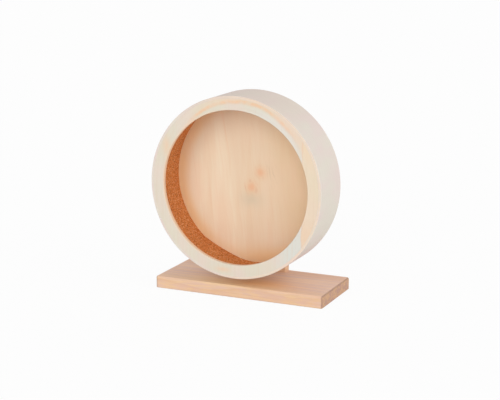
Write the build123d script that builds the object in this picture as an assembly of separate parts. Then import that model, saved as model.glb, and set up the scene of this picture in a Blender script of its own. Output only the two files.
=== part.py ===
from build123d import *
import os
from math import cos, pi, radians, sin

# A wooden exercise wheel for small rodents. An open-fronted plywood drum, lined with cork,
# turns on two ball bearings in a hub block behind it. The bearings sit on an axle bolt
# that an upright post holds, and the post stands on a base plate.
# Sizes are in millimetres. X runs along the base, Y towards the back and Z up.
# The origin is the centre of the base plate's underside.

# Base plate
base_length = 220.0
base_depth = 93.0
base_thickness = 15.0
base_arris = 2.5
base_foot_arris = 0.8

# Upright post
post_width = 60.0
post_thickness = 12.0
post_arris = 1.5
post_inset = 1.0

# Drum
drum_diameter = 220.0
drum_depth = 64.0
floor_gap = 11.0
ring_border = 16.8
ring_thickness = 5.0
disc_thickness = 4.0
hoop_thickness = 3.0
hoop_joint_angle = 205.0
hoop_joint_gap = 0.3
drum_arris = 0.6

# Cork lining, whose last stretch before its joint stands proud of the hoop
cork_thickness = 3.0
cork_joint_angle = 229.0
cork_joint_gap = 0.6
cork_crest_angle = 246.0
cork_landing_angle = 269.0
cork_lift = 2.6

# Hub block
hub_diameter = 60.0
hub_arris = 2.0
hub_screw_count = 4
hub_screw_skin = 1.2

# Ball bearing, 8 x 22 x 7 mm
bearing_bore = 8.0
bearing_diameter = 22.0
bearing_width = 7.0
ball_diameter = 3.969
ball_count = 7
groove_depth = 0.6
race_corner = 0.3
shield_recess = 0.35
shield_thickness = 0.3
shield_step = 0.8
cage_thickness = 1.0
cage_rim = 0.5

# Axle bolt, its nuts and washers, M8
bolt_head_diameter = 13.0
bolt_head_height = 3.5
bolt_head_arris = 0.8
bolt_socket_flats = 5.0
bolt_socket_depth = 2.0
bolt_tip_chamfer = 0.8
bolt_end_past_nut = 3.8
nut_flats = 13.0
thin_nut_thickness = 4.0
lock_nut_height = 8.0
lock_nut_hexagon_height = 5.6
lock_nut_collar_inset = 0.5
lock_nut_collar_wall = 0.9
lock_nut_lip = 0.3
washer_diameter = 16.0
washer_thickness = 1.6

# Wood screws
post_screw_diameter = 4.0
post_screw_head_diameter = 8.0
post_screw_bite = 25.0
post_screw_edge_distance = 13.0
hub_screw_diameter = 3.0
hub_screw_head_diameter = 6.0
head_sinkage = 0.3
screw_point_length = 4.0
recess_width = 1.1
recess_span_share = 0.6

# Clearances
glue_line = 0.04
seat_fit = 0.02
ball_clearance = 0.06
pocket_clearance = 0.12
shield_clearance = 0.2
screw_hole_clearance = 0.1
bolt_hole_clearance = 0.2
head_side_room = 1.5
head_top_room = 0.5
screw_tip_room = 0.4

# Sizes worked out from those above
drum_radius = drum_diameter / 2
hoop_inner_radius = drum_radius - hoop_thickness
board_radius = hoop_inner_radius - glue_line
hole_radius = drum_radius - ring_border
axle_height = base_thickness + floor_gap + drum_radius
thread_radius = bearing_bore / 2 - seat_fit
head_pocket_radius = bolt_head_diameter / 2 + head_side_room
head_pocket_depth = bolt_head_height + head_top_room
bearing_seat_radius = bearing_diameter / 2 + seat_fit
hub_radius = hub_diameter / 2
hub_screw_circle_radius = (bearing_seat_radius + hub_radius) / 2
hub_screw_bite = disc_thickness - hub_screw_skin - screw_tip_room
ball_circle_radius = (bearing_bore + bearing_diameter) / 4
ball_radius = ball_diameter / 2
inner_shoulder_radius = ball_circle_radius - ball_radius + groove_depth
outer_shoulder_radius = ball_circle_radius + ball_radius - groove_depth
shield_seat_radius = outer_shoulder_radius + shield_step
shield_seat_depth = shield_recess + shield_thickness

# Places along the axle, counted backwards from the drum's front face
disc_front = drum_depth - disc_thickness
front_bearing_place = drum_depth + head_pocket_depth
rear_bearing_place = front_bearing_place + bearing_width
hub_back = rear_bearing_place + bearing_width
front_washer_place = hub_back + thin_nut_thickness
post_front = front_washer_place + washer_thickness
post_back = post_front + post_thickness
lock_nut_place = post_back + washer_thickness
bolt_end = lock_nut_place + lock_nut_height + bolt_end_past_nut
drum_front_y = base_depth / 2 - post_inset - post_back


def on_axle(depth):
    """The place on the axle at a depth behind the drum's front, with Z facing backwards."""
    return Pos(0, drum_front_y + depth, axle_height) * Rot(-90, 0, 0)


def facing_viewer(depth):
    """The same place with X to the right and Y up, as the drum is seen from the front."""
    return on_axle(depth) * Rot(180, 0, 0)


def between(profile, front, back):
    """A flat profile, drawn as seen from the front, made solid between two depths."""
    return facing_viewer(back) * extrude(profile, back - front)


def turned(outline):
    """A solid turned about the Z axis from an outline of (radius, height) points."""
    return revolve(Plane.XZ * make_face(Polyline(*outline, close=True)), Axis.Z)


def at_angle(radius, angle):
    """The point at an angle from +X, counter-clockwise as seen from the front."""
    return Vector(radius * cos(radians(angle)), radius * sin(radians(angle)))


def joint_slot(angle, radius, thickness, gap):
    """The narrow slot that a bent strip's butt joint leaves across its thickness."""
    return Rot(0, 0, angle) * Pos(radius + thickness / 2, 0) * Rectangle(thickness * 3, gap)


def rims(solid):
    """The solid's circular edges in groups, from the smallest radius to the largest."""
    return solid.edges().filter_by(GeomType.CIRCLE).group_by(SortBy.RADIUS)


def base_plate():
    """The board that everything stands on, drilled from beneath for the post's screws."""
    board = extrude(Rectangle(base_length, base_depth), base_thickness)
    board = fillet(board.edges().filter_by(Axis.Z), base_arris)
    board = fillet(board.faces().sort_by(Axis.Z)[-1].edges(), base_arris)
    board = fillet(board.faces().sort_by(Axis.Z)[0].edges(), base_foot_arris)
    for hole in post_screw_holes():
        board -= hole
    return board


def upright_post():
    """The board behind the drum, rounded over the axle and standing on the base."""
    foot = axle_height - base_thickness
    profile = Circle(post_width / 2) + Pos(0, -foot / 2) * Rectangle(post_width, foot)
    post = between(profile, post_front, post_back)
    broad_faces = post.faces().filter_by(Axis.Y)
    post = fillet(broad_faces.edges().filter_by(Axis.X, reverse=True), post_arris)
    post -= between(Circle(bearing_bore / 2 + bolt_hole_clearance), post_front, post_back)
    for hole in post_screw_holes():
        post -= hole
    return post


def front_ring():
    """The board with the hole that the animal climbs in through."""
    ring = between(Circle(board_radius) - Circle(hole_radius), 0, ring_thickness)
    return fillet(rims(ring)[0], drum_arris)


def back_disc():
    """The board that closes the drum's back, with blind holes for the hub's screws."""
    disc = between(Circle(board_radius), disc_front, drum_depth)
    for hole in hub_screw_holes():
        disc -= hole
    return disc


def drum_hoop():
    """Thin plywood bent round the ring and the disc, its ends meeting in a butt joint."""
    hoop = between(Circle(drum_radius) - Circle(hoop_inner_radius), 0, drum_depth)
    hoop = fillet(rims(hoop)[-1], drum_arris)
    slot = joint_slot(hoop_joint_angle, hoop_inner_radius, hoop_thickness, hoop_joint_gap)
    return hoop - between(slot, 0, drum_depth)


def cork_outline(radius):
    """One side of the cork strip: round the hoop, then lifted off it up to the joint."""
    joint = at_angle(radius, cork_joint_angle)
    crest = at_angle(radius - cork_lift, cork_crest_angle)
    landing = at_angle(radius, cork_landing_angle)
    lifted_length = radius * radians(cork_crest_angle - cork_joint_angle)
    lift_slope = 2 * cork_lift / lifted_length
    leaving = at_angle(1, cork_joint_angle + 90) - at_angle(lift_slope, cork_joint_angle)
    arriving = at_angle(1, cork_landing_angle + 90)
    lifted = Spline(joint, crest, landing, tangents=(leaving, arriving))
    glued_arc = 360 - (cork_landing_angle - cork_joint_angle)
    glued = CenterArc((0, 0), radius, cork_landing_angle, glued_arc)
    return make_face([lifted, glued])


def cork_lining():
    """The cork strip that the animal runs on, between the ring and the disc."""
    outer_radius = hoop_inner_radius - glue_line
    inner_radius = outer_radius - cork_thickness
    strip = cork_outline(outer_radius) - cork_outline(inner_radius)
    strip -= joint_slot(cork_joint_angle, inner_radius, cork_thickness, cork_joint_gap)
    return between(strip, ring_thickness, disc_front)


def hub_block():
    """The round block on the drum's back that holds both bearings and clears the bolt head."""
    block = between(Circle(hub_radius), drum_depth, hub_back)
    back_rim = block.edges().filter_by(GeomType.CIRCLE).sort_by(Axis.Y)[-1]
    block = fillet(back_rim, hub_arris)
    block -= between(Circle(head_pocket_radius), drum_depth, front_bearing_place)
    block -= between(Circle(bearing_seat_radius), front_bearing_place, hub_back)
    for hole in hub_screw_holes():
        block -= hole
    return block


def wood_screw(radius, head_radius, length):
    """A countersunk screw with its head's face at Z = 0 and its point up at its length."""
    screw = turned([
        (0, 0),
        (head_radius, 0),
        (radius, head_radius - radius),
        (radius, length - screw_point_length),
        (0, length),
    ])
    span = 2 * head_radius * recess_span_share
    depth = 2 * (head_radius - radius)
    return screw - Box(span, recess_width, depth) - Box(recess_width, span, depth)


def screw_hole(radius, head_radius, length):
    """The hole for such a screw, run out past its head's face."""
    wide = radius + screw_hole_clearance
    head = head_radius + screw_hole_clearance
    return turned([
        (0, -2 * head_sinkage),
        (head, -2 * head_sinkage),
        (head, 0),
        (wide, head - wide),
        (wide, length + screw_tip_room),
        (0, length + screw_tip_room),
    ])


def post_screw_size():
    """Radius, head radius and length of a screw that holds the post on the base."""
    length = base_thickness - head_sinkage + post_screw_bite
    return post_screw_diameter / 2, post_screw_head_diameter / 2, length


def post_screw_places():
    """The heads' places beneath the base, under the post."""
    across = post_width / 2 - post_screw_edge_distance
    along = base_depth / 2 - post_inset - post_thickness / 2
    return [Pos(side * across, along, head_sinkage) for side in (-1, 1)]


def post_screws():
    """Two screws up through the base into the post's foot."""
    screw = wood_screw(*post_screw_size())
    return Part() + [place * screw for place in post_screw_places()]


def post_screw_holes():
    """The holes that those screws need in the base and in the post."""
    hole = screw_hole(*post_screw_size())
    return [place * hole for place in post_screw_places()]


def hub_screw_size():
    """Radius, head radius and length of a screw that holds the hub block on the disc."""
    length = hub_back - drum_depth - head_sinkage + hub_screw_bite
    return hub_screw_diameter / 2, hub_screw_head_diameter / 2, length


def hub_screw_places():
    """The heads' places round the hub block's back, pointing forwards."""
    places = PolarLocations(hub_screw_circle_radius, hub_screw_count, 180 / hub_screw_count)
    return [facing_viewer(hub_back - head_sinkage) * place for place in places]


def hub_screws():
    """Screws through the hub block into the disc, which their points don't pierce."""
    screw = wood_screw(*hub_screw_size())
    return Part() + [place * screw for place in hub_screw_places()]


def hub_screw_holes():
    """The holes that those screws need in the hub block and in the disc."""
    hole = screw_hole(*hub_screw_size())
    return [place * hole for place in hub_screw_places()]


def groove():
    """The track that the balls run in, cut into both races."""
    return Torus(ball_circle_radius, ball_radius + ball_clearance)


def outer_race():
    """A bearing's outer race, with a step at each face for a shield."""
    radius = bearing_diameter / 2
    half = bearing_width / 2
    seat = half - shield_seat_depth
    race = turned([
        (radius, race_corner - half),
        (radius, half - race_corner),
        (radius - race_corner, half),
        (shield_seat_radius, half),
        (shield_seat_radius, seat),
        (outer_shoulder_radius, seat),
        (outer_shoulder_radius, -seat),
        (shield_seat_radius, -seat),
        (shield_seat_radius, -half),
        (radius - race_corner, -half),
    ])
    return race - groove()


def inner_race():
    """A bearing's inner race, which the axle bolt clamps."""
    radius = bearing_bore / 2
    half = bearing_width / 2
    race = turned([
        (radius, race_corner - half),
        (radius + race_corner, -half),
        (inner_shoulder_radius, -half),
        (inner_shoulder_radius, half),
        (radius + race_corner, half),
        (radius, half - race_corner),
    ])
    return race - groove()


def ball_places():
    """The balls' centres round a bearing."""
    return PolarLocations(ball_circle_radius, ball_count)


def balls():
    """A bearing's balls."""
    return Part() + [place * Sphere(ball_radius) for place in ball_places()]


def cage():
    """The ring that keeps a bearing's balls evenly apart."""
    wide = ball_circle_radius + cage_thickness / 2
    narrow = ball_circle_radius - cage_thickness / 2
    ring = extrude(Circle(wide) - Circle(narrow), ball_radius + cage_rim, both=True)
    pocket = Rot(0, 90, 0) * Cylinder(ball_radius + pocket_clearance, 3 * cage_thickness)
    for place in ball_places():
        ring -= place * pocket
    return ring


def shields():
    """The two thin covers that close a bearing's faces."""
    edge = shield_seat_radius - seat_fit
    bore = inner_shoulder_radius + shield_clearance
    shield = extrude(Circle(edge) - Circle(bore), shield_thickness)
    front = bearing_width / 2 - shield_seat_depth
    return Part() + [Pos(0, 0, front) * shield, Pos(0, 0, -front - shield_thickness) * shield]


def bearing(name, place):
    """The pieces of one bearing whose front face lies at a place along the axle."""
    middle = on_axle(place + bearing_width / 2)
    return {
        f"{name}_outer_race": middle * outer_race(),
        f"{name}_inner_race": middle * inner_race(),
        f"{name}_balls": middle * balls(),
        f"{name}_cage": middle * cage(),
        f"{name}_shields": middle * shields(),
    }


def hexagon(flats, height):
    """A hexagonal prism from Z = 0 up, measured across its flats."""
    return extrude(RegularPolygon(flats / 2, 6, major_radius=False), height)


def axle_bolt():
    """The bolt from its low head, in the hub's pocket, back to its end behind the nut."""
    head_radius = bolt_head_diameter / 2
    length = bolt_end - front_bearing_place
    bolt = turned([
        (0, -bolt_head_height),
        (head_radius - bolt_head_arris, -bolt_head_height),
        (head_radius, bolt_head_arris - bolt_head_height),
        (head_radius, 0),
        (thread_radius, 0),
        (thread_radius, length - bolt_tip_chamfer),
        (thread_radius - bolt_tip_chamfer, length),
        (0, length),
    ])
    bolt -= Pos(0, 0, -bolt_head_height) * hexagon(bolt_socket_flats, bolt_socket_depth)
    return on_axle(front_bearing_place) * bolt


def nut_hexagon(height):
    """A hexagon nut's outside, its six corners turned off at both ends."""
    corner = nut_flats / 2 / cos(pi / 6)
    flat = nut_flats / 2
    drop = (corner - flat) / 2
    envelope = turned([
        (0, 0),
        (flat, 0),
        (corner, drop),
        (corner, height - drop),
        (flat, height),
        (0, height),
    ])
    return hexagon(nut_flats, height) & envelope


def thin_nut():
    """The nut that clamps the inner races against the bolt's head."""
    nut = nut_hexagon(thin_nut_thickness)
    nut -= extrude(Circle(bearing_bore / 2), thin_nut_thickness)
    return on_axle(hub_back) * nut


def collar_bore_radius():
    """The radius inside a lock nut's collar, where its insert sits."""
    return nut_flats / 2 - lock_nut_collar_inset - lock_nut_collar_wall


def lock_nut():
    """The nut behind the post, with a round collar rolled over its insert."""
    collar_height = lock_nut_height - lock_nut_hexagon_height
    collar_radius = nut_flats / 2 - lock_nut_collar_inset
    collar = Pos(0, 0, lock_nut_hexagon_height) * extrude(Circle(collar_radius), collar_height)
    nut = nut_hexagon(lock_nut_hexagon_height) + collar
    nut -= extrude(Circle(bearing_bore / 2), lock_nut_height)
    seat = extrude(Circle(collar_bore_radius()), collar_height - lock_nut_lip)
    mouth = extrude(Circle(collar_bore_radius() - lock_nut_lip), collar_height)
    nut -= Pos(0, 0, lock_nut_hexagon_height) * (seat + mouth)
    return on_axle(lock_nut_place) * nut


def lock_nut_insert():
    """The nylon ring that grips the thread."""
    depth = lock_nut_height - lock_nut_hexagon_height - lock_nut_lip
    ring = Circle(collar_bore_radius() - seat_fit) - Circle(bearing_bore / 2)
    return on_axle(lock_nut_place + lock_nut_hexagon_height) * extrude(ring, depth)


def washer(place):
    """A plain washer on the bolt, its front face at a place along the axle."""
    ring = Circle(washer_diameter / 2) - Circle(bearing_bore / 2 + bolt_hole_clearance)
    return on_axle(place) * extrude(ring, washer_thickness)


pieces = {
    "base_plate": base_plate(),
    "upright_post": upright_post(),
    "post_screws": post_screws(),
    "front_ring": front_ring(),
    "back_disc": back_disc(),
    "drum_hoop": drum_hoop(),
    "cork_lining": cork_lining(),
    "hub_block": hub_block(),
    "hub_screws": hub_screws(),
    **bearing("front_bearing", front_bearing_place),
    **bearing("rear_bearing", rear_bearing_place),
    "axle_bolt": axle_bolt(),
    "thin_nut": thin_nut(),
    "front_washer": washer(front_washer_place),
    "rear_washer": washer(post_back),
    "lock_nut": lock_nut(),
    "lock_nut_insert": lock_nut_insert(),
}

os.makedirs("parts", exist_ok=True)
for name, piece in pieces.items():
    export_step(piece, f"parts/{name}.step")
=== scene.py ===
from math import cos, degrees, pi, radians, sin, tau

import bpy
from mathutils import Matrix, Vector, noise


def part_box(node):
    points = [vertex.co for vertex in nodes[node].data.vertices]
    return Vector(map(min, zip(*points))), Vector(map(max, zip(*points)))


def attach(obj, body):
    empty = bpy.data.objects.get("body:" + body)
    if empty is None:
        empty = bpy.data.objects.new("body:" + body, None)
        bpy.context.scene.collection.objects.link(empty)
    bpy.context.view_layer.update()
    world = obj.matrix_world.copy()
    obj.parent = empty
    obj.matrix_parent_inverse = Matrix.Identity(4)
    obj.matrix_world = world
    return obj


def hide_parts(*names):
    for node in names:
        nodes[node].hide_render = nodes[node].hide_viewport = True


# A wooden exercise wheel for small rodents: an open plywood drum lined with cork, turning
# on an axle that an upright post holds over a base plate. Lengths are in metres, and in
# millimetres inside the materials. Angles are in degrees, counter-clockwise from +X as the
# drum is seen from the front.

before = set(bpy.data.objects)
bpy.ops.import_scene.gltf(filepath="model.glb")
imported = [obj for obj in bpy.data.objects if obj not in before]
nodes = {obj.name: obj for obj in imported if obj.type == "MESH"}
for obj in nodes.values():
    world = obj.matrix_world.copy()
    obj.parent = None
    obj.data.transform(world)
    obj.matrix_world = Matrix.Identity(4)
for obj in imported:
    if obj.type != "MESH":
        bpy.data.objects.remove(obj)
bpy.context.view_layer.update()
MM = 0.001

# Sizes taken from the frame
drum_low, drum_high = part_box("drum_hoop")
drum_radius = (drum_high.x - drum_low.x) / 2
axle_height = (drum_high.z + drum_low.z) / 2
drum_front = drum_low.y
ring_low, ring_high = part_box("front_ring")
ring_thickness = ring_high.y - ring_low.y
disc_low, disc_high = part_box("back_disc")
disc_thickness = disc_high.y - disc_low.y
cork_low, cork_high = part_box("cork_lining")
cork_radius = (cork_high.x - cork_low.x) / 2
cork_width = cork_high.y - cork_low.y
bolt_low, bolt_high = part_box("axle_bolt")
bolt_head_radius = (bolt_high.x - bolt_low.x) / 2
washer_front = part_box("rear_washer")[0].y
bearing_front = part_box("front_bearing_inner_race")[0].y
base_low, base_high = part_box("base_plate")
base_thickness = base_high.z - base_low.z

# Camera, where the photograph was taken from
camera_place = (0.6402, -1.4285, 0.46195)
camera_azimuth = 24.2588
camera_elevation = 12.6226
camera_roll = 0.0558
camera_lens = 94.83
camera_sensor = 36.0

# Light: two low and broad lamps, one in front and one on the right, and a white room all
# round. A lamp's azimuth goes from the front, -Y, towards +X.
front_azimuth = 8.0
front_strength = 1.18
side_azimuth = 82.0
side_strength = 0.98
lamp_elevation = 12.0
lamp_spread = 50.0
white = (1.0, 1.0, 1.0, 1.0)
room_strength = 0.68
floor_radius = 14.0
floor_sides = 96
floor_colour = (0.9, 0.9, 0.9, 1.0)
floor_glow = 0.93

# Drum hoop
hoop_thickness = 3.0 * MM
hoop_joint_angle = 205.0

# Cork strip
cork_thickness = 3.0 * MM
cork_joint_angle = 229.0
cork_joint_gap = 0.2 * MM
cork_crest_angle = 246.0
cork_landing_angle = 269.0
cork_lift = 2.6 * MM
cork_grid = 0.8 * MM
cork_grain_size = 1.1 * MM
cork_grain_relief = 0.16 * MM
cork_smoothing = 50.0

# Axle bolt, M8. The thread's slope and crest shape its profile across one pitch.
thread_radius = 3.98 * MM
thread_pitch = 1.25 * MM
thread_depth = 0.72 * MM
thread_slope = 1.3
thread_crest = 0.15
thread_lead_in = 1.5 * MM
thread_step = 0.125 * MM
bolt_sides = 72
bolt_smoothing = 35.0
head_height = 3.5 * MM
head_arris = 0.8 * MM
head_arris_bend = 0.3
socket_flats = 5.0 * MM
socket_depth = 2.0 * MM
socket_chamfer = 0.1 * MM
tip_chamfer = 0.8 * MM

# Plywood layers, in millimetres
ring_veneer = 1.2
disc_veneer = 1.0
hoop_veneer = 0.95
core_blend = 0.04
glue_half_width = 0.07

# Surface relief
veneer_relief = 0.05 * MM
pine_relief = 0.06 * MM
granule_relief = 0.12 * MM
metal_relief = 0.01 * MM
nylon_relief = 0.02 * MM

# Grain and marks in the wood, and patches of painted light on the base, in millimetres. A mark is
# its middle, across and above the axle on the drum and along X and Y on the base, and then its
# half width and half height.
ring_arch_middle = 5.0
ring_arch_half_width = 92.0
ring_arch_height = 103.5
ring_edge_line = 86.6
ring_marks = (((-89.0, 44.0), (5.0, 13.0)), ((-15.0, -100.0), (9.0, 3.0)))
disc_knot_eddies = (((7.0, 9.5), (11.0, 17.0)), ((-2.5, -9.0), (11.0, 18.0)))
disc_swirl = ((22.0, 12.0), (9.0, 15.0))
disc_stain = ((-5.0, -25.0), (14.0, 9.5))
disc_knots = (((7.5, 9.0), (8.0, 7.5)), ((-4.0, -10.0), (7.5, 8.5)))
# The base's two patches are painted light under the drum, where its shade falls.
base_painted_light_patch = ((-14.0, -38.0), (50.0, 18.0))
base_painted_warm_light = ((22.0, -26.0), (44.0, 17.0))


def srgb(red, green, blue):
    """A colour given in display values from 0 to 255, in the linear values of a shader."""
    linear = []
    for value in (red, green, blue):
        share = value / 255
        linear.append(share / 12.92 if share <= 0.04045 else ((share + 0.055) / 1.055) ** 2.4)
    return (*linear, 1.0)


class Wire:
    """A number that varies over a surface. Arithmetic on it adds Math nodes."""

    def __init__(self, graph, socket):
        self.graph = graph
        self.socket = socket

    def __add__(self, other):
        return self.graph.math("ADD", self, other)

    def __sub__(self, other):
        return self.graph.math("SUBTRACT", self, other)

    def __rsub__(self, other):
        return self.graph.math("SUBTRACT", other, self)

    def __mul__(self, other):
        return self.graph.math("MULTIPLY", self, other)

    def __truediv__(self, other):
        return self.graph.math("DIVIDE", self, other)

    def __pow__(self, other):
        return self.graph.math("POWER", self, other)

    def __abs__(self):
        return self.graph.math("ABSOLUTE", self)

    __radd__ = __add__
    __rmul__ = __mul__

    def function(self, operation, other=0.0):
        """Another Math node, such as EXPONENT, SQRT or MAXIMUM."""
        return self.graph.math(operation, self, other)

    def rise(self, low, high):
        """0 below low and 1 above high, with a smooth step between."""
        return self.graph.stepped(self, low, high, 0.0, 1.0)

    def fall(self, low, high):
        """1 below low and 0 above high, with a smooth step between."""
        return self.graph.stepped(self, low, high, 1.0, 0.0)

    def line(self, place, half_width):
        """1 on a place and 0 beyond the half width on either side of it."""
        return abs(self - place).fall(0.0, half_width)


class Graph:
    """A material's node tree."""

    def __init__(self, name):
        self.material = bpy.data.materials.new(name)
        self.material.use_nodes = True
        self.tree = self.material.node_tree
        self.tree.nodes.clear()

    def feed(self, socket, value):
        """Links a wire or another node's output to an input, or sets the input's value."""
        if isinstance(value, Wire):
            value = value.socket
        if isinstance(value, bpy.types.NodeSocket):
            self.tree.links.new(value, socket)
        else:
            socket.default_value = value

    def add(self, kind, inputs, **settings):
        """A node with its settings made and its inputs fed by name or number."""
        node = self.tree.nodes.new("ShaderNode" + kind)
        for name, value in settings.items():
            setattr(node, name, value)
        for key, value in inputs.items():
            self.feed(node.inputs[key], value)
        return node

    def math(self, operation, first, second=0.0):
        """A Math node's result."""
        node = self.add("Math", {0: first, 1: second}, operation=operation)
        return Wire(self, node.outputs[0])

    def stepped(self, value, low, high, start, end):
        """A smooth step from start, where the value is low, to end, where it is high."""
        ends = {"Value": value, "From Min": low, "From Max": high, "To Min": start, "To Max": end}
        node = self.add("MapRange", ends, interpolation_type="SMOOTHSTEP")
        return Wire(self, node.outputs[0])

    def position(self, origin=(0.0, 0.0, 0.0)):
        """The place on the piece in millimetres from an origin, as three wires."""
        where = self.add("TexCoord", {}).outputs["Object"]
        moved = self.add("VectorMath", {0: where, 1: origin}, operation="SUBTRACT")
        scaled = self.add("VectorMath", {0: moved.outputs[0], "Scale": 1 / MM}, operation="SCALE")
        return self.parts(scaled.outputs[0])

    def facing(self):
        """The piece's own outward direction, as three wires."""
        return self.parts(self.add("TexCoord", {}).outputs["Normal"])

    def parts(self, vector):
        """A vector's X, Y and Z, as three wires."""
        node = self.add("SeparateXYZ", {0: vector})
        return [Wire(self, socket) for socket in node.outputs]

    def vector(self, x, y, z):
        """Three wires or numbers as one vector."""
        return self.add("CombineXYZ", {0: x, 1: y, 2: z}).outputs[0]

    def noise(self, x, y, z, detail=2.0, roughness=0.5):
        """Soft noise from 0 to 1, with one lump to each unit of its coordinates."""
        inputs = {"Vector": self.vector(x, y, z), "Scale": 1.0}
        inputs |= {"Detail": detail, "Roughness": roughness}
        return Wire(self, self.add("TexNoise", inputs).outputs[0])

    def cells(self, x, y, z):
        """Random cells, one to each unit: a node with a colour for each and its distances."""
        return self.add("TexVoronoi", {"Vector": self.vector(x, y, z), "Scale": 1.0})

    def mix(self, share, first, second):
        """A colour between two. A Mix node's colours go in at 6 and 7 and come out at 2."""
        node = self.add("Mix", {0: share, 6: first, 7: second}, data_type="RGBA")
        return node.outputs[2]

    def finish(self, colour, roughness, relief=None, depth=0.0, **fixed):
        """The surface shader, with a slight relief whose height is given in metres."""
        inputs = {"Base Color": colour, "Roughness": roughness}
        if relief is not None:
            bump = self.add("Bump", {"Height": relief, "Distance": depth, "Strength": 1.0})
            inputs["Normal"] = bump.outputs[0]
        inputs |= {name.replace("_", " "): value for name, value in fixed.items()}
        shader = self.add("BsdfPrincipled", inputs)
        self.add("OutputMaterial", {"Surface": shader.outputs[0]})
        return self.material


def paint(material, *names):
    """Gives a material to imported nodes."""
    for name in names:
        for holder in nodes[name].material_slots:
            holder.material = material


# Wood

def fibres(graph, along, across, through):
    """Fine fibres along the grain, from 0 to 1."""
    return graph.noise(along * 0.07, across * 2.4, through * 2.4, detail=3.0, roughness=0.6)


def streaks(graph, along, across, through):
    """Softer and longer streaks along the grain, from 0 to 1."""
    return graph.noise(along * 0.011, across * 0.42, through * 0.42, detail=3.0, roughness=0.55)


def clouds(graph, x, y, z, size):
    """Broad patches of a size in millimetres, from 0 to 1."""
    return graph.noise(x / size, y / size, z / size, detail=1.0)


def growth_lines(rings):
    """Latewood: each ring darkens slowly outwards and ends at once, from 0 to 1."""
    phase = rings.function("FRACT")
    return phase ** 3.0 * phase.fall(0.86, 1.0)


def distance(first, second):
    """How far a point is from an axis, by its two coordinates from it."""
    return (first * first + second * second).function("SQRT")


def spot(first, second, mark):
    """How near a point is to a mark, from 0 far off to 1 in its middle."""
    middle, half_size = mark
    aside = (first - middle[0]) / half_size[0]
    above = (second - middle[1]) / half_size[1]
    return (0.0 - (aside * aside + above * above)).function("EXPONENT")


def drum_position(graph):
    """Across, height over the axle and depth behind the drum's front, in millimetres."""
    across, depth, height = graph.position((0.0, drum_front, axle_height))
    return across, height, depth


def layers(depth, thickness, veneer):
    """How far a place in a three-layer board is in the core, and on its glue lines."""
    back_veneer = thickness - veneer
    core = depth.rise(veneer - core_blend, veneer + core_blend)
    core = core * depth.fall(back_veneer - core_blend, back_veneer + core_blend)
    glue = depth.line(veneer, glue_half_width) + depth.line(back_veneer, glue_half_width)
    return core, glue


def sanded(graph, colour, fine, soft, roughness=0.58, sheen=0.3):
    """A veneer's finely sanded surface, on which the fibres still stand out a little."""
    relief = fine * 0.6 + soft * 0.4
    return graph.finish(colour, roughness + fine * 0.14, relief, veneer_relief,
                        Specular_IOR_Level=sheen)


def ring_wood():
    """Pale veneer: an arch of grain follows the ring's top, and the right edge is warmer."""
    graph = Graph("pale_plywood")
    across, height, depth = drum_position(graph)
    drift = clouds(graph, across, height * 0.5, depth, 30.0) - 0.5
    waver = graph.noise(across / 7.0, height / 16.0, depth * 0.2) - 0.5
    bent = across + drift * 3.0 + waver * 2.0
    tall = (height + drift * 3.0 + waver * 2.0).function("MAXIMUM", 0.0)
    arch = distance((bent - ring_arch_middle) / ring_arch_half_width, tall / ring_arch_height)
    fine = fibres(graph, height, across, depth)
    soft = streaks(graph, height, across, depth)

    colour = ring_ground(graph, across, height, depth, arch)
    colour = graph.mix(growth_lines(arch * 17.0) * 0.12, colour, srgb(216, 184, 152))
    outside = arch.rise(0.98, 1.03) * height.rise(20.0, 60.0) * across.rise(-75.0, -15.0)
    colour = graph.mix(outside * 0.5, colour, srgb(236, 209, 180))
    colour = ring_right_edge(graph, colour, bent + waver * 2.5, height)
    patchy = graph.noise(across / 8.0, height / 8.0, 0.0).rise(0.35, 0.6)
    streak = arch.line(1.0, 0.036) * height.rise(55.0, 88.0) * (0.35 + patchy * 0.4)
    colour = graph.mix(streak, colour, srgb(238, 192, 150))
    for mark in ring_marks:
        colour = graph.mix(spot(bent, height, mark) * 0.5, colour, srgb(238, 196, 158))
    colour = graph.mix(soft.rise(0.5, 0.75) * 0.2, colour, srgb(220, 192, 164))
    colour = graph.mix(fine.rise(0.52, 0.8) * 0.18, colour, srgb(210, 186, 160))

    core, glue = layers(depth, ring_thickness / MM, ring_veneer)
    uneven = graph.noise(across * 0.1, height * 2.0, depth * 2.0).rise(0.3, 0.7)
    core_colour = graph.mix(uneven, srgb(240, 204, 168), srgb(250, 220, 188))
    colour = graph.mix(core, colour, core_colour)
    colour = graph.mix(glue * 0.3, colour, srgb(196, 150, 108))
    return sanded(graph, colour, fine, soft)


def ring_ground(graph, across, height, depth, arch):
    """The ring's colour under its grain: cooler at the right, with a painted highlight along its
    hole's left edge.
    """
    patches = clouds(graph, across, height * 0.6, depth, 34.0)
    colour = graph.mix(patches.rise(0.35, 0.65), srgb(222, 214, 196), srgb(227, 211, 198))
    cool_above = arch.fall(0.93, 1.0) * across.rise(5.0, 50.0) * height.rise(20.0, 60.0)
    colour = graph.mix(cool_above * 0.8, colour, srgb(224, 220, 213))
    cool_below = across.rise(45.0, 75.0) * height.fall(-60.0, -20.0)
    colour = graph.mix(cool_below * 0.8, colour, srgb(217, 219, 212))
    # Painted highlight along the hole's left edge, which faces the side lamp.
    painted_lip_highlight = distance(across, height).fall(93.5, 96.0) * across.fall(-60.0, 0.0)
    return graph.mix(painted_lip_highlight * 0.5, colour, srgb(240, 208, 176))


def ring_right_edge(graph, colour, across, height):
    """A warmer strip of wood at the ring's right edge, with an orange line beside it."""
    warm = across.rise(85.0, 88.0)
    colour = graph.mix(warm * 0.45, colour, srgb(237, 212, 176))
    colour = graph.mix(warm * height.fall(-50.0, -20.0) * 0.5, colour, srgb(238, 198, 164))
    return graph.mix(across.line(ring_edge_line, 1.2) * 0.3, colour, srgb(228, 180, 142))


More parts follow.
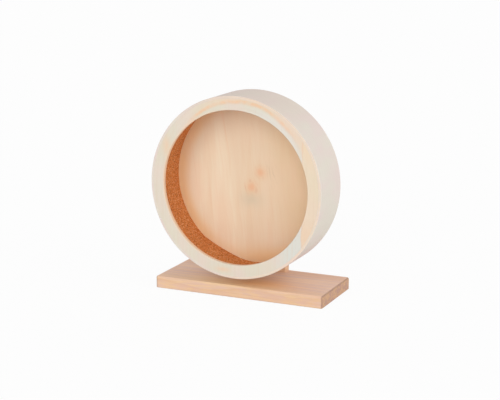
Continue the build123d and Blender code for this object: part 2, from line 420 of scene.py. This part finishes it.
def disc_wood():
    """Tan veneer with slightly leaning grain that flows round two pin knots."""
    graph = Graph("tan_plywood")
    across, height, depth = drum_position(graph)
    drift = clouds(graph, across, height * 0.35, depth, 38.0) - 0.5
    waver = graph.noise(across / 6.0, height / 30.0, depth * 0.2) - 0.5
    lean = across + height * 0.19 + drift * 9.0 + waver * 2.0
    for eddy in disc_knot_eddies:
        lean = lean - (across - eddy[0][0]) * spot(across, height, eddy) * 0.85
    lean = lean + spot(across, height, disc_swirl) * 5.0
    fine = fibres(graph, height, across, depth)
    soft = streaks(graph, height, across + height * 0.12, depth)
    uneven = graph.noise(lean / 9.0, height / 40.0, 7.0).rise(0.35, 0.7)
    into_disc = depth - (disc_low.y - drum_front) / MM
    inside = into_disc.fall(1.5, 2.5)

    colour = disc_ground(graph, across, height, lean)
    # Painted warm shade round the disc's rim and along its foot.
    colour = disc_painted_bounce_shade(graph, colour, across, height, inside)
    colour = graph.mix(growth_lines(lean / 9.0 + drift) * uneven * 0.12, colour,
                       srgb(232, 190, 150))
    colour = graph.mix(lean.line(-29.0, 1.6) * height.rise(0.0, 50.0) * 0.15, colour,
                       srgb(243, 196, 146))
    colour = graph.mix(clouds(graph, across, height * 0.4, depth, 24.0).rise(0.45, 0.75) * 0.3,
                       colour, srgb(247, 218, 190))
    colour = graph.mix(soft.rise(0.5, 0.75) * 0.2, colour, srgb(236, 200, 158))
    colour = graph.mix(fine.rise(0.52, 0.8) * 0.16, colour, srgb(226, 190, 150))
    ragged = waver * 6.0 + (fine - 0.5) * 8.0
    colour = disc_blemishes(graph, colour, across, height, lean, ragged, inside)

    core, glue = layers(into_disc, disc_thickness / MM, disc_veneer)
    colour = graph.mix(core, colour, srgb(232, 194, 158))
    colour = graph.mix(glue * 0.35, colour, srgb(176, 130, 92))
    return sanded(graph, colour, fine, soft)


def disc_ground(graph, across, height, lean):
    """The disc's colour under its grain: paler on the left, with broad upright bands."""
    colour = graph.mix(lean.rise(-42.0, -18.0), srgb(249, 234, 207), srgb(243, 222, 193))
    colour = graph.mix(lean.rise(5.0, 60.0) * 0.8, colour, srgb(236, 210, 169))
    bands = graph.noise(across / 11.0, height / 150.0, 2.0)
    return graph.mix(bands.rise(0.42, 0.62) * 0.22, colour, srgb(238, 206, 168))


def disc_painted_bounce_shade(graph, colour, across, height, inside):
    """Painted shade, warmed by light thrown back from the cork and the wood, round the disc's rim
    and along its foot, inside the drum only.
    """
    # Painted shade round the rim, warmed by light from the cork, stronger on the left.
    rim = distance(across, height).rise(84.0, 100.0)
    rim = rim * (0.3 + across.fall(-85.0, -40.0) * 0.35)
    colour = graph.mix(rim * inside, colour, srgb(248, 206, 144))
    # Painted warm shade along the disc's foot.
    foot = height.fall(-98.0, -72.0) * across.rise(-30.0, 15.0)
    return graph.mix(foot * inside * 0.5, colour, srgb(236, 196, 136))


def disc_blemishes(graph, colour, across, height, lean, ragged, inside):
    """A grey stain, a swirl of grain and two pin knots, the edges of all of them ragged."""
    stain = spot(across + ragged, height + ragged, disc_stain)
    colour = graph.mix(stain * inside * 0.5, colour, srgb(216, 204, 178))
    curl = graph.noise(lean / 2.6, height / 22.0, 4.0).rise(0.45, 0.7)
    swirl = spot(across, height, disc_swirl)
    colour = graph.mix(swirl * curl * 0.4, colour, srgb(216, 192, 158))
    for knot in disc_knots:
        heart = spot(across + ragged * 0.6, height + ragged * 0.4, knot) * inside
        colour = graph.mix(heart * 0.5, colour, srgb(242, 192, 146))
        colour = graph.mix(heart.rise(0.5, 1.0) * 0.35, colour, srgb(242, 182, 138))
        colour = graph.mix(heart.line(0.4, 0.3) * curl * 0.35, colour, srgb(224, 172, 130))
    return colour


def hoop_wood():
    """Thin pale plywood bent round the drum, its grain running round with it."""
    graph = Graph("hoop_plywood")
    across, height, depth = drum_position(graph)
    radius = distance(across, height)
    along = round_the_hoop(graph, across, height)
    waver = graph.noise(along / 60.0, depth / 12.0, 0.0) - 0.5
    fine = fibres(graph, along, depth, radius)
    soft = streaks(graph, along, depth, radius)

    colour = graph.mix(graph.noise(along / 40.0, depth / 90.0, 3.0).rise(0.35, 0.65),
                       srgb(223, 216, 203), srgb(226, 210, 203))
    # Painted shade and grazing sheen: darker and pinker over the hoop's top.
    colour = graph.mix(height.rise(70.0, 100.0) * 0.6, colour, srgb(222, 206, 194))
    colour = graph.mix(growth_lines((depth + waver * 9.0) / 6.5) * 0.1, colour,
                       srgb(204, 184, 168))
    colour = graph.mix(soft.rise(0.5, 0.75) * 0.16, colour, srgb(212, 196, 182))
    colour = graph.mix(fine.rise(0.52, 0.8) * 0.15, colour, srgb(202, 186, 170))

    edge = depth.fall(0.1, 0.5) * (0.1 + across.rise(-60.0, 20.0) * 0.9)
    warmth = graph.noise(along / 18.0, 0.0, 5.0).rise(0.3, 0.7)
    colour = graph.mix(edge * (0.2 + warmth * 0.4), colour, srgb(238, 212, 186))
    into_hoop = radius - (drum_radius - hoop_thickness) / MM
    core, glue = layers(into_hoop, hoop_thickness / MM, hoop_veneer)
    colour = graph.mix(core * edge * 0.5, colour, srgb(238, 216, 190))
    colour = graph.mix(glue * edge * 0.3, colour, srgb(204, 168, 134))
    return sanded(graph, colour, fine, soft, roughness=0.55, sheen=0.35)


def round_the_hoop(graph, across, height):
    """The way round the hoop in millimetres, which jumps only where its ends meet."""
    joint = radians(hoop_joint_angle)
    turned_across = (across * cos(joint) + height * sin(joint)) * -1.0
    turned_height = (height * cos(joint) - across * sin(joint)) * -1.0
    return graph.math("ARCTAN2", turned_height, turned_across) * (drum_radius / MM)


def board_ground(graph, x, y, z):
    """The colour of a plain pine board under its grain."""
    patches = graph.noise(x / 30.0, y / 30.0, z / 30.0)
    return graph.mix(patches.rise(0.35, 0.65), srgb(226, 192, 163), srgb(229, 190, 153))


def base_ground(graph, x, y, z):
    """The base plate's colour: warm and flecked in front with painted shadow along the foot,
    pinker above with a painted sheen, and painted warm light under the drum.
    """
    flecks = graph.noise(x / 20.0, y / 3.5, z / 3.0)
    front = graph.mix(flecks.rise(0.35, 0.65), srgb(229, 194, 172), srgb(235, 199, 160))
    # Painted contact shadow: darker along the foot of the sides and ends.
    front = graph.mix(z.fall(0.3, 1.5) * 0.4, front, srgb(176, 148, 128))
    bands = graph.noise(x / 110.0, y / 4.2, 9.0, detail=3.0)
    # The top, paler and pinker than the sides: painted grazing sheen over its growth bands.
    # Darker and warmer towards the back.
    top_with_painted_sheen = graph.mix(bands.rise(0.38, 0.62), srgb(231, 199, 187), srgb(244, 208, 179))
    top_with_painted_sheen = graph.mix(y.rise(12.0, 36.0) * 0.5, top_with_painted_sheen, srgb(225, 180, 151))
    # Painted light: the top's front strip and a patch under the drum made paler against the
    # drum's shade.
    top_with_painted_sheen = graph.mix(y.fall(-44.0, -24.0) * 0.6, top_with_painted_sheen, srgb(240, 204, 170))
    top_with_painted_sheen = graph.mix(spot(x, y, base_painted_light_patch), top_with_painted_sheen, srgb(255, 222, 176))
    # Painted warm light, thrown back by the drum onto the top under it.
    top_with_painted_sheen = graph.mix(spot(x, y, base_painted_warm_light) * 0.85, top_with_painted_sheen, srgb(252, 200, 142))
    below_top = base_thickness / MM - z
    return graph.mix(below_top.fall(0.4, 2.2), front, top_with_painted_sheen)


def pine(name, ground, along_axis, pith, ring_width):
    """Solid pine: rings round a pith line outside the board, and darker end grain."""
    graph = Graph(name)
    place = graph.position()
    normal = graph.facing()
    along = place[along_axis]
    first, second = [place[axis] for axis in range(3) if axis != along_axis]
    drift = graph.noise(along / 90.0, first / 30.0, second / 30.0) - 0.5
    waver = graph.noise(along / 35.0, first / 6.0, second / 6.0) - 0.5
    from_pith = distance(first - pith[0] + drift * 10.0, second - pith[1] + drift * 6.0)
    late = growth_lines((from_pith + waver * 2.2) / ring_width)
    fine = fibres(graph, along, first, second)
    soft = streaks(graph, along, first, second)

    colour = graph.mix(late * 0.4, ground(graph, *place), srgb(208, 152, 120))
    colour = graph.mix(soft.rise(0.48, 0.75) * 0.35, colour, srgb(214, 168, 138))
    colour = graph.mix(fine.rise(0.5, 0.8) * 0.3, colour, srgb(204, 156, 126))

    endwise = abs(normal[along_axis])
    cut = end_grain(graph, along, first, second, late)
    colour = graph.mix(endwise.rise(0.25, 0.75) * 0.9, colour, cut)
    # Darker arrises beside the end grain: partly the end grain's own colour, partly painted shade
    # where the edge turns away.
    arris_grain_and_shade = endwise * (1.0 - endwise * endwise).function("SQRT")
    colour = graph.mix(arris_grain_and_shade.rise(0.1, 0.5) * 0.5, colour, srgb(150, 118, 102))
    relief = fine * 0.5 + soft * 0.5
    return graph.finish(colour, 0.56 + fine * 0.16, relief, pine_relief, Specular_IOR_Level=0.3)


def end_grain(graph, along, first, second, late):
    """Pine cut across its fibres: mottled and dark, with darker pores and latewood."""
    mottle = graph.noise(first / 7.0, second / 4.0, along * 0.05, detail=3.0)
    pores = graph.noise(first * 0.5, second * 0.6, along * 0.1, detail=4.0, roughness=0.7)
    cut = graph.mix(mottle.rise(0.4, 0.6), srgb(186, 145, 130), srgb(210, 169, 127))
    cut = graph.mix(late * 0.7, cut, srgb(154, 107, 88))
    return graph.mix(pores.rise(0.5, 0.72) * 0.6, cut, srgb(156, 116, 100))


# Cork, metal and nylon

def cork():
    """Pressed granules of orange-brown cork."""
    graph = Graph("cork")
    x, y, z = graph.position()
    size = cork_grain_size / MM
    granules = graph.cells(x / size, y / size, z / size)
    chance = graph.parts(granules.outputs["Color"])[0]
    from_middle = Wire(graph, granules.outputs["Distance"])
    fine = graph.noise(x * 2.0, y * 2.0, z * 2.0)
    colour = graph.mix(chance.rise(0.1, 0.9), srgb(212, 126, 66), srgb(230, 155, 93))
    colour = graph.mix(chance.rise(0.86, 0.92) * 0.8, colour, srgb(244, 194, 140))
    colour = graph.mix(chance.fall(0.08, 0.14) * 0.7, colour, srgb(156, 84, 44))
    # Painted shade in the crevices: darker towards each granule's edge.
    colour = graph.mix(from_middle.rise(0.45, 0.8) * 0.35, colour, srgb(168, 94, 50))
    colour = graph.mix(fine.rise(0.5, 0.8) * 0.25, colour, srgb(186, 108, 60))
    relief = fine * 0.4 - from_middle
    return graph.finish(colour, 0.82, relief, granule_relief, Specular_IOR_Level=0.2)


def metal(name, colour, roughness):
    """Plated or turned metal with faint uneven gloss."""
    graph = Graph(name)
    x, y, z = graph.position()
    haze = graph.noise(x * 0.6, y * 0.6, z * 0.6, detail=3.0)
    grain = graph.noise(x * 5.0, y * 5.0, z * 5.0)
    dulled = tuple(0.72 * value for value in colour[:3])
    tint = graph.mix(haze.rise(0.4, 0.75) * 0.3, colour, (*dulled, 1.0))
    gloss = roughness + haze * 0.12 + grain * 0.06
    return graph.finish(tint, gloss, grain, metal_relief, Metallic=1.0)


def zinc(name, roughness):
    """Zinc plate."""
    return metal(name, srgb(205, 208, 212), roughness)


def nylon():
    """The lock nut's ring of cloudy nylon."""
    graph = Graph("nylon")
    x, y, z = graph.position()
    haze = graph.noise(x * 1.2, y * 1.2, z * 1.2)
    colour = graph.mix(haze.rise(0.3, 0.7), srgb(226, 228, 228), srgb(210, 214, 216))
    return graph.finish(colour, 0.38 + haze * 0.15, haze, nylon_relief)


# Pieces modelled here

def lofted(name, loops, material):
    """A closed mesh through a row of closed loops, all with as many points, and two caps."""
    count = len(loops[0])
    faces = []
    for row in range(len(loops) - 1):
        near = row * count
        far = near + count
        for step in range(count):
            beside = (step + 1) % count
            faces.append((near + step, near + beside, far + beside, far + step))
    faces.append(tuple(reversed(range(count))))
    last = (len(loops) - 1) * count
    faces.append(tuple(range(last, last + count)))
    mesh = bpy.data.meshes.new(name)
    mesh.from_pydata([point for loop in loops for point in loop], [], faces)
    mesh.materials.append(material)
    mesh.validate()
    piece = bpy.data.objects.new(name, mesh)
    bpy.context.scene.collection.objects.link(piece)
    return piece


def shade_smooth(piece, limit):
    """Smooth shading, except across edges sharper than a limit in degrees."""
    piece.data.polygons.foreach_set("use_smooth", [True] * len(piece.data.polygons))
    piece.data.set_sharp_from_angle(angle=radians(limit))


def drum_point(radius, angle, depth):
    """The point at a radius and an angle in radians about the axle, at a depth."""
    return Vector((radius * cos(angle), depth, axle_height + radius * sin(angle)))


def cork_lift_at(angle):
    """How far the strip stands off the hoop at an angle in degrees, from its joint on."""
    if angle < cork_crest_angle:
        share = (angle - cork_joint_angle) / (cork_crest_angle - cork_joint_angle)
        return cork_lift * (2 * share - share * share)
    if angle < cork_landing_angle:
        share = (angle - cork_crest_angle) / (cork_landing_angle - cork_crest_angle)
        return cork_lift * (1 + cos(pi * share)) / 2
    return 0.0


def granular(point):
    """The relief of pressed granules at a point, from about -1 to 1."""
    coarse = noise.noise(point / cork_grain_size)
    return coarse + 0.5 * noise.noise(point / (0.5 * cork_grain_size))


def cork_loop(angle, columns):
    """The strip's outline across its width at an angle in radians, granules on its inside."""
    from_joint = (degrees(angle) - cork_joint_angle) % 360
    outer = cork_radius - cork_lift_at(cork_joint_angle + from_joint)
    inner = outer - cork_thickness
    loop = [drum_point(outer, angle, depth) for depth in (cork_high.y, cork_low.y)]
    for column in range(columns + 1):
        depth = cork_low.y + cork_width * column / columns
        relief = cork_grain_relief * granular(drum_point(inner, angle, depth))
        loop.append(drum_point(inner + relief, angle, depth))
    return loop


def cork_strip():
    """The lining, its inner face a fine grid with the granules' relief."""
    half_gap = cork_joint_gap / 2 / (cork_radius - cork_thickness)
    start = radians(cork_joint_angle) + half_gap
    sweep = tau - 2 * half_gap
    rows = round(sweep * cork_radius / cork_grid)
    columns = round(cork_width / cork_grid)
    loops = [cork_loop(start + sweep * row / rows, columns) for row in range(rows + 1)]
    piece = lofted("cork_strip", loops, cork())
    shade_smooth(piece, cork_smoothing)
    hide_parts("cork_lining")
    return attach(piece, "wheel")


def axle_loop(depth, radius_at):
    """A loop about the axle at a depth, with its radius given by a function of its angle."""
    angles = [tau * side / bolt_sides for side in range(bolt_sides)]
    return [drum_point(radius_at(angle), angle, depth) for angle in angles]


def hexagon_at(flats):
    """The radius of a hexagon's edge, as a function of the angle."""
    def radius_at(angle):
        return flats / 2 / cos((angle + pi / 6) % (pi / 3) - pi / 6)
    return radius_at


def round_at(radius):
    """One radius at every angle, as a function of the angle."""
    return lambda angle: radius


def thread_at(depth, start, end):
    """The radius of the bolt's thread at a depth, as a function of the angle."""
    chamfer = thread_radius - max(0.0, depth - (end - tip_chamfer))
    growth = min(1.0, max(0.0, (depth - start) / thread_lead_in))

    def radius_at(angle):
        turn = (depth / thread_pitch - angle / tau) % 1.0
        flank = thread_slope * (1 - abs(2 * turn - 1)) - thread_crest
        valley = min(1.0, max(0.0, flank))
        return min(chamfer, thread_radius - thread_depth * growth * valley)
    return radius_at


def threaded_bolt():
    """The axle bolt, with its socket head and a real helical thread at its end."""
    face = bearing_front - head_height
    bend = head_arris_bend * head_arris
    start = washer_front - thread_lead_in
    end = bolt_high.y
    loops = [
        axle_loop(face + socket_depth, hexagon_at(socket_flats)),
        axle_loop(face + socket_chamfer, hexagon_at(socket_flats)),
        axle_loop(face, hexagon_at(socket_flats + 2 * socket_chamfer)),
        axle_loop(face, round_at(bolt_head_radius - head_arris)),
        axle_loop(face + bend, round_at(bolt_head_radius - bend)),
        axle_loop(face + head_arris, round_at(bolt_head_radius)),
        axle_loop(bearing_front, round_at(bolt_head_radius)),
        axle_loop(bearing_front, round_at(thread_radius)),
    ]
    steps = round((end - start) / thread_step)
    for step in range(steps + 1):
        depth = start + (end - start) * step / steps
        loops.append(axle_loop(depth, thread_at(depth, start, end)))
    piece = lofted("threaded_bolt", loops, zinc("bolt_zinc", 0.26))
    shade_smooth(piece, bolt_smoothing)
    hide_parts("axle_bolt")
    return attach(piece, "stand")


# Stage

def light_path_share(tree):
    """1 for rays from the camera and for those mirrored or let through, and 0 for others."""
    path = tree.nodes.new("ShaderNodeLightPath")
    total = path.outputs["Is Camera Ray"]
    for name in ("Is Glossy Ray", "Is Transmission Ray"):
        either = tree.nodes.new("ShaderNodeMath")
        either.operation = "MAXIMUM"
        tree.links.new(total, either.inputs[0])
        tree.links.new(path.outputs[name], either.inputs[1])
        total = either.outputs[0]
    return total


def background(tree, strength):
    """White light of a strength from all round."""
    node = tree.nodes.new("ShaderNodeBackground")
    node.inputs["Color"].default_value = white
    node.inputs["Strength"].default_value = strength
    return node.outputs[0]


def room():
    """White where it is seen, and an even soft light on the object."""
    world = bpy.data.worlds.new("room")
    bpy.context.scene.world = world
    world.use_nodes = True
    tree = world.node_tree
    tree.nodes.clear()
    choice = tree.nodes.new("ShaderNodeMixShader")
    output = tree.nodes.new("ShaderNodeOutputWorld")
    tree.links.new(light_path_share(tree), choice.inputs[0])
    tree.links.new(background(tree, room_strength), choice.inputs[1])
    tree.links.new(background(tree, 1.0), choice.inputs[2])
    tree.links.new(choice.outputs[0], output.inputs[0])


def floor():
    """A white floor that keeps the object's shadow."""
    bpy.ops.mesh.primitive_circle_add(vertices=floor_sides, radius=floor_radius,
                                      fill_type="NGON")
    piece = bpy.context.object
    piece.name = "floor"
    piece.location.z = base_low.z
    graph = Graph("floor")
    matte = graph.add("BsdfDiffuse", {"Color": floor_colour})
    glow = graph.add("Emission", {"Color": white, "Strength": 1.0})
    share = Wire(graph, light_path_share(graph.tree)) * floor_glow
    choice = graph.add("MixShader", {0: share, 1: matte.outputs[0], 2: glow.outputs[0]})
    graph.add("OutputMaterial", {"Surface": choice.outputs[0]})
    piece.data.materials.append(graph.material)


def lamp(name, azimuth, strength):
    """A broad soft light, low down."""
    sun = bpy.data.lights.new(name, "SUN")
    sun.energy = strength
    sun.angle = radians(lamp_spread)
    light = bpy.data.objects.new(name, sun)
    turn = Matrix.Rotation(radians(azimuth), 4, "Z")
    light.matrix_world = turn @ Matrix.Rotation(radians(90 - lamp_elevation), 4, "X")
    bpy.context.scene.collection.objects.link(light)


def camera():
    """The photograph's own view."""
    lens = bpy.data.cameras.new("camera")
    lens.lens = camera_lens
    lens.sensor_width = camera_sensor
    lens.clip_end = 2 * floor_radius
    view = bpy.data.objects.new("camera", lens)
    turn = Matrix.Rotation(radians(camera_azimuth), 4, "Z")
    turn = turn @ Matrix.Rotation(radians(90 - camera_elevation), 4, "X")
    turn = turn @ Matrix.Rotation(radians(camera_roll), 4, "Z")
    view.matrix_world = Matrix.Translation(camera_place) @ turn
    bpy.context.scene.collection.objects.link(view)
    bpy.context.scene.camera = view


camera()
room()
floor()
lamp("front_light", front_azimuth, front_strength)
lamp("side_light", side_azimuth, side_strength)
bpy.context.scene.view_settings.view_transform = "Standard"

paint(ring_wood(), "front_ring")
paint(disc_wood(), "back_disc")
paint(hoop_wood(), "drum_hoop")
paint(pine("base_pine", base_ground, along_axis=0, pith=(70.0, -24.0), ring_width=4.2),
      "base_plate")
paint(pine("post_pine", board_ground, along_axis=2, pith=(-8.0, 70.0), ring_width=3.0),
      "upright_post")
paint(pine("hub_wood", board_ground, along_axis=2, pith=(40.0, 60.0), ring_width=2.2),
      "hub_block")
paint(zinc("zinc", 0.3), "post_screws", "hub_screws", "thin_nut", "front_washer",
      "rear_washer", "lock_nut")
for place in ("front", "rear"):
    paint(metal(f"{place}_bearing_steel", srgb(196, 198, 200), 0.16),
          f"{place}_bearing_outer_race", f"{place}_bearing_inner_race",
          f"{place}_bearing_balls")
    paint(metal(f"{place}_cage_steel", srgb(176, 174, 168), 0.34), f"{place}_bearing_cage")
    paint(metal(f"{place}_shield_steel", srgb(188, 190, 192), 0.28),
          f"{place}_bearing_shields")
paint(nylon(), "lock_nut_insert")
cork_strip()
threaded_bolt()
